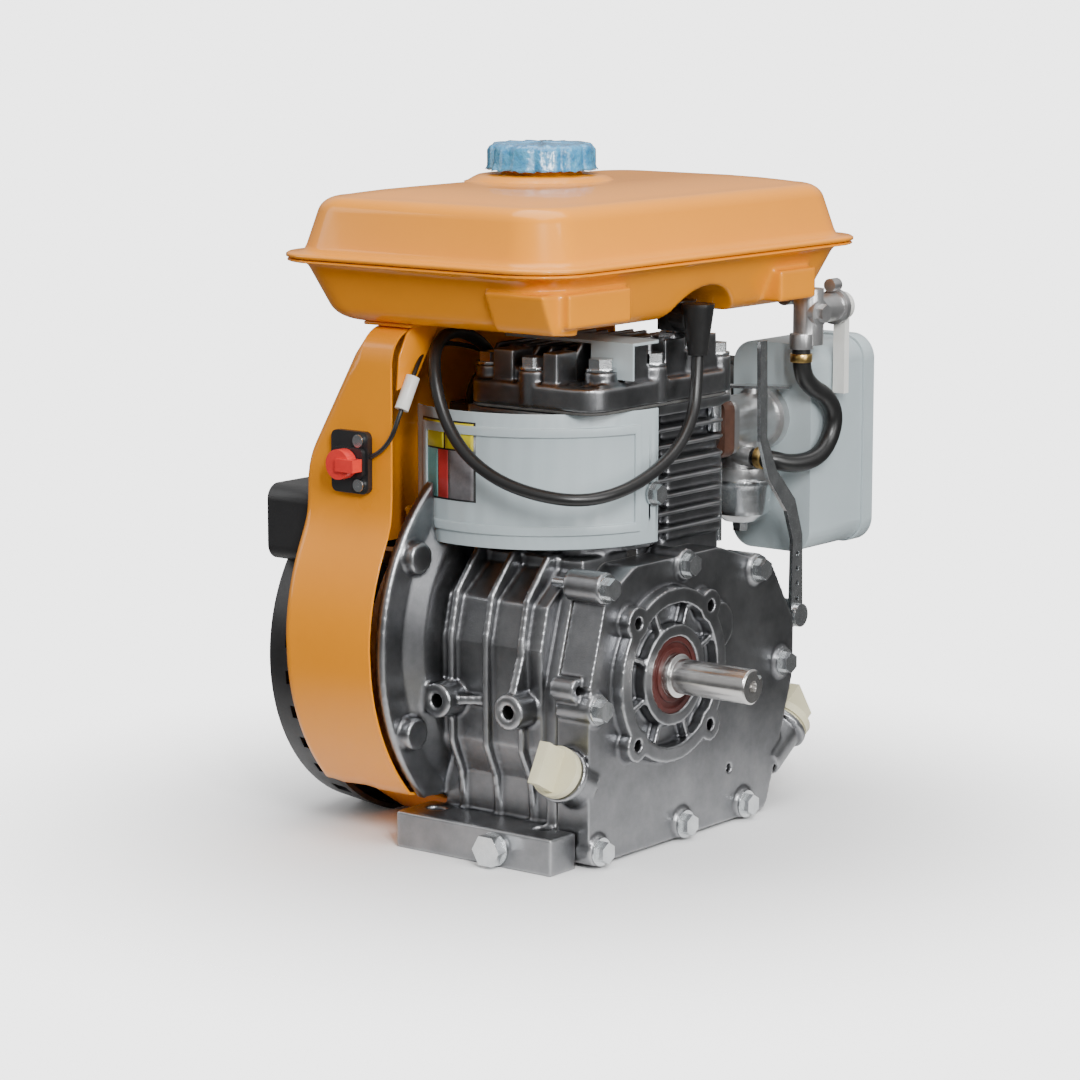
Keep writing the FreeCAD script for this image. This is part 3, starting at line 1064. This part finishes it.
def muffler_shield():
    y = "muffler_y1 + 8"
    plate = prism("XZ_Plane", rectangle(("muffler_x0 - 2", "muffler_x1 + 1"), ("muffler_z0 + 2", "muffler_z1 + 4")),
                  f"-({y}) - 1.5", "1.5", "14")
    legs = [rod("Y", "4", ("muffler_y1", y), (x, z)) for x in ("muffler_x0 + 20", "muffler_x1 - 20")
            for z in ("muffler_z0 + 20", "muffler_z1 - 20")]
    slots = []
    for number in range(6):
        x = f"muffler_x0 + 16 + {number} * 11"
        slots.append(box((x, f"{x} + 5"), (f"{y} - 1", f"{y} + 3"), ("muffler_z0 + 30", "muffler_z1 - 30")))
    keep("muffler_shield", cut(fuse(plate, *legs), *slots))


# ---- fuel cock, hose and leads ----

def fuel_cock_body():
    elbow = fuse(rod("Y", "5.5", ("142.5", "150"), ("-26", "301")), rod("X", "5.5", ("-29", "-12"), ("150", "301")))
    body = rod("Z", "9", ("273", "306"), ("-12", "148"))
    barrel = rod("Y", "8.5", ("148", "178"), ("-12", "293"))
    collar = rod("Y", "10.5", ("174", "178"), ("-12", "293"))
    screw = hexagon("X", "5.5", ("-4", "1"), ("148", "292"))
    boss = rod("X", "8", ("-12", "-3.5"), ("148", "292"))
    nozzle = fuse(rod("Z", "7", ("271", "280"), ("-12", "141")), rod("Z", "3", ("264", "272"), ("-12", "141")))
    ear = rod("Y", "4", ("170", "178"), ("-12", "306"))
    keep("fuel_cock_body", fuse(elbow, body, barrel, collar, boss, screw, nozzle, ear))


def fuel_cock_lever():
    hub = rod("Y", "8.5", ("178.4", "185"), ("-12", "293"))
    arm = box(("-14.6", "-6.6"), ("179", "184"), ("241", "293"))
    keep("fuel_cock_lever", fuse(hub, arm))


def curve_path(points, closed_ends=True):
    """Straight runs through points, joined by tangent arcs as large as the runs allow."""
    spots = [Vector(*point) for point in points]
    corners = []
    for before, corner, after in zip(spots, spots[1:], spots[2:]):
        back, ahead = (before - corner), (after - corner)
        turn = math.pi - back.getAngle(ahead)
        reach = 0.45 * min(back.Length, ahead.Length)
        corners.append((corner, back.normalize(), ahead.normalize(), turn, reach))
    edges, here = [], spots[0]
    for corner, back, ahead, turn, reach in corners:
        start, end = corner + back * reach, corner + ahead * reach
        radius = reach / math.tan(turn / 2)
        centre = corner + (back + ahead).normalize() * (radius / math.cos(turn / 2))
        middle = centre + (corner - centre).normalize() * radius
        edges += [Part.LineSegment(here, start).toShape(), Part.Arc(start, middle, end).toShape()]
        here = end
    edges.append(Part.LineSegment(here, spots[-1]).toShape())
    radii = [round(reach / math.tan(turn / 2), 1) for _, _, _, turn, reach in corners]
    return Part.Wire(edges), radii


def tube(label, points, radius, bore=0):
    """A round cord or hose along a route of hand-chosen points; prints its bend radii and volume."""
    path, radii = curve_path(points)
    start, heading = path.Vertexes[0].Point, (Vector(*points[1]) - Vector(*points[0])).normalize()
    section = Part.Wire(Part.makeCircle(radius, start, heading))
    solid = path.makePipeShell([section], True, True)
    expected = math.pi * radius ** 2 * path.Length
    print(f"{label}: length {path.Length:.1f}, radii {radii}, volume {solid.Volume / expected:.4f} of its section")
    if bore:
        hollow = path.makePipeShell([Part.Wire(Part.makeCircle(bore, start, heading))], True, True)
        solid = solid.cut(hollow)
    piece = doc.addObject("Part::Feature", label)
    piece.Shape = solid
    return piece


FUEL_ROUTE = [(-12, 141, 270.7), (-12, 141, 257), (-11, 151, 247), (-9, 164, 241), (-8, 172, 229), (-9, 168, 214),
              (-10, 155, 204), (-17, 139, 202), (-25, 128, 206), (-35.7, 128, 206)]
LEAD_ROUTE = [(-12, 36, 277), (-11, 34, 262), (-8, 27, 244), (-5, 8, 227), (-3, -20, 216), (-4, -48, 209),
              (-14, -70, 206), (-36, -82, 209), (-60, -87, 216), (-82, -88, 229), (-97, -87, 248), (-106, -84, 270),
              (-113, -74, 286), (-117, -54, 292), (-118, -32, 286), (-119, -16, 274), (-126, -9, 264),
              (-139, -8, 258), (-141, -8, 244.6)]
STOP_ROUTE = [(-134, -106, 224), (-127, -106, 227), (-118.5, -105.5, 236), (-116, -101, 250), (-115, -93, 266),
              (-117, -83, 278), (-123, -70, 284), (-125, -50, 284), (-125, -28, 280), (-127, -6, 273),
              (-132, 8, 264), (-138, 10, 254), (-138, 10, 244.6)]
CONNECTOR = [(-116, -101, 250), (-115, -93, 266)]


def fuel_hose():
    """The moulded rubber hose from the fuel cock to the carburettor."""
    keep("fuel_hose", tube("fuel_hose", FUEL_ROUTE, 5.5, 3.3))


def hose_clamps():
    """A spring clamp near each end of the fuel hose."""
    rings = []
    for here, there in ((FUEL_ROUTE[0], FUEL_ROUTE[1]), (FUEL_ROUTE[-1], FUEL_ROUTE[-2])):
        start, heading = Vector(*here), (Vector(*there) - Vector(*here)).normalize()
        foot_spot = start + heading * 2.5
        ring = Part.makeCylinder(6.6, 5, foot_spot, heading)
        rings.append(ring.cut(Part.makeCylinder(5.5, 5, foot_spot, heading)))
    piece = doc.addObject("Part::Feature", "hose_clamps")
    piece.Shape = Part.makeCompound(rings)
    keep("hose_clamps", piece)


def wire_connector():
    """The clear sleeve over the joint of the stop wire."""
    start, end = (Vector(*point) for point in CONNECTOR)
    heading = end - start
    foot_spot = start + heading * 0.1
    sleeve = Part.makeCylinder(4, heading.Length * 1.1, foot_spot, heading)
    piece = doc.addObject("Part::Feature", "wire_connector")
    piece.Shape = sleeve
    keep("wire_connector", piece)


def switch_plate():
    wall = "-neck_y"
    plate = prism("XZ_Plane", rectangle(("-161", "-134"), ("203", "238")), "neck_y", "4", "4")
    hump = prism("XZ_Plane", rectangle(("-159", "-136"), ("212", "229")), "neck_y + 3.9", "2.6", "3")
    bore = rod("Y", "3 + run", ("-neck_y - 10", "-neck_y - 2"), ("-148", "220"))
    keep("switch_plate", cut(fuse(plate, hump), bore))


def switch_knob():
    spindle = rod("Y", "3", ("-neck_y - 8", "-neck_y - 3"), ("-148", "220"))
    disc = rod("Y", "8.5", ("-neck_y - 14", "-neck_y - 7"), ("-148", "220"))
    pointer = box(("-148", "-135"), ("-neck_y - 16", "-neck_y - 8"), ("216.5", "223.5"))
    keep("switch_knob", fuse(spindle, disc, pointer))


def governor_lever():
    """The stamped lever that bends outwards on its way down to the governor shaft."""
    route = [("99", "279"), ("106", "279"), ("107", "222"), ("117", "202"), ("137", "182"), ("145", "160"),
             ("146", "112"), ("134", "112"), ("135", "158"), ("128", "176"), ("109", "197"), ("100", "220")]
    strip = prism("YZ_Plane", route, "-14.6", "2.4")
    hub = rod("X", "7", ("-15.6", "-9"), ("140", "112"))
    shaft = rod("X", "3", ("-40", "-14"), ("140", "112"))
    holes = [rod("X", "1.7", ("-16", "-10"), ("140", f"{122 + 9 * number}")) for number in range(4)]
    keep("governor_lever", cut(fuse(strip, hub, shaft), *holes))


def outer_screws():
    """The small screws of the housing, recoil case, switch and baffle panel."""
    pieces = []
    for spot in CASE_SCREWS:
        pieces.append(fuse(rod("X", "2.5", ("house_front - 8", "house_front + 4"), spot),
                           hexagon("X", "6", ("house_front - 8", "house_front - 3"), spot)))
    for spot in (("-140", "208"), ("-140", "233")):
        pieces.append(rod("Y", "3.6", ("-neck_y - 6", "-neck_y - 4"), spot))
    pieces.append(fuse(rod("X", "2", ("-22", "-14"), ("0", "panel_low + 28")),
                       rod("X", "7", ("-15.8", "-14.6"), ("0", "panel_low + 28")),
                       hexagon("X", "5.5", ("-14.8", "-10"), ("0", "panel_low + 28"))))
    keep("outer_screws", fuse(*pieces))


def build():
    crankshaft()
    crank_gear()
    camshaft()
    governor_gear()
    piston()
    wrist_pin()
    connecting_rod()
    crank_pin()
    bearing("pto_bearing", "pto_bearing_x")
    bearing("flywheel_bearing", "fly_bearing_x")
    oil_seal()
    flywheel()
    starter_cup()
    valve("intake_valve", VALVES[0])
    valve("exhaust_valve", VALVES[1])
    crankcase()
    cylinder_liner()
    cover_gasket()
    crankcase_cover()
    cover_bolts()
    drain_plug()
    oil_cap("oil_cap_near", *NECKS[0])
    oil_cap("oil_cap_far", *NECKS[1])
    cylinder_head()
    head_gasket()
    head_bolts()
    spark_plug()
    plug_cap()
    tappet_cover()
    blower_housing()
    baffle_panel()
    head_shroud()
    ignition_coil()
    recoil_case()
    starter_reel()
    starter_grip()
    tank_upper_shell()
    tank_lower_shell()
    fuel_cap()
    insulator_block()
    carburetor_body()
    float_bowl()
    butterfly("throttle_lever", *THROTTLE)
    butterfly("choke_lever", *CHOKE)
    air_cleaner_case()
    air_cleaner_lid()
    filter_element()
    muffler()
    muffler_shield()
    fuel_cock_body()
    fuel_cock_lever()
    fuel_hose()
    hose_clamps()
    keep("spark_lead", tube("spark_lead", LEAD_ROUTE, 3.5))
    keep("stop_wire", tube("stop_wire", STOP_ROUTE, 1.3))
    wire_connector()
    switch_plate()
    switch_knob()
    governor_lever()
    outer_screws()


def write():
    """Checks every object and sub-part, then writes each sub-part to its own file."""
    doc.recompute()
    for obj in doc.Objects:
        if "Invalid" in obj.State or "Error" in obj.State:
            raise RuntimeError(f"{obj.Name} ({obj.Label}) has not been built: {obj.State}")
    for piece in NODES:
        if piece.Shape.isNull() or not piece.Shape.isValid():
            raise RuntimeError(f"{piece.Label} has no valid shape")
    os.makedirs("parts", exist_ok=True)
    for piece in NODES:
        piece.Shape.exportStep(f"parts/{piece.Label}.step")
    print(f"{len(NODES)} sub-parts")


build()
write()
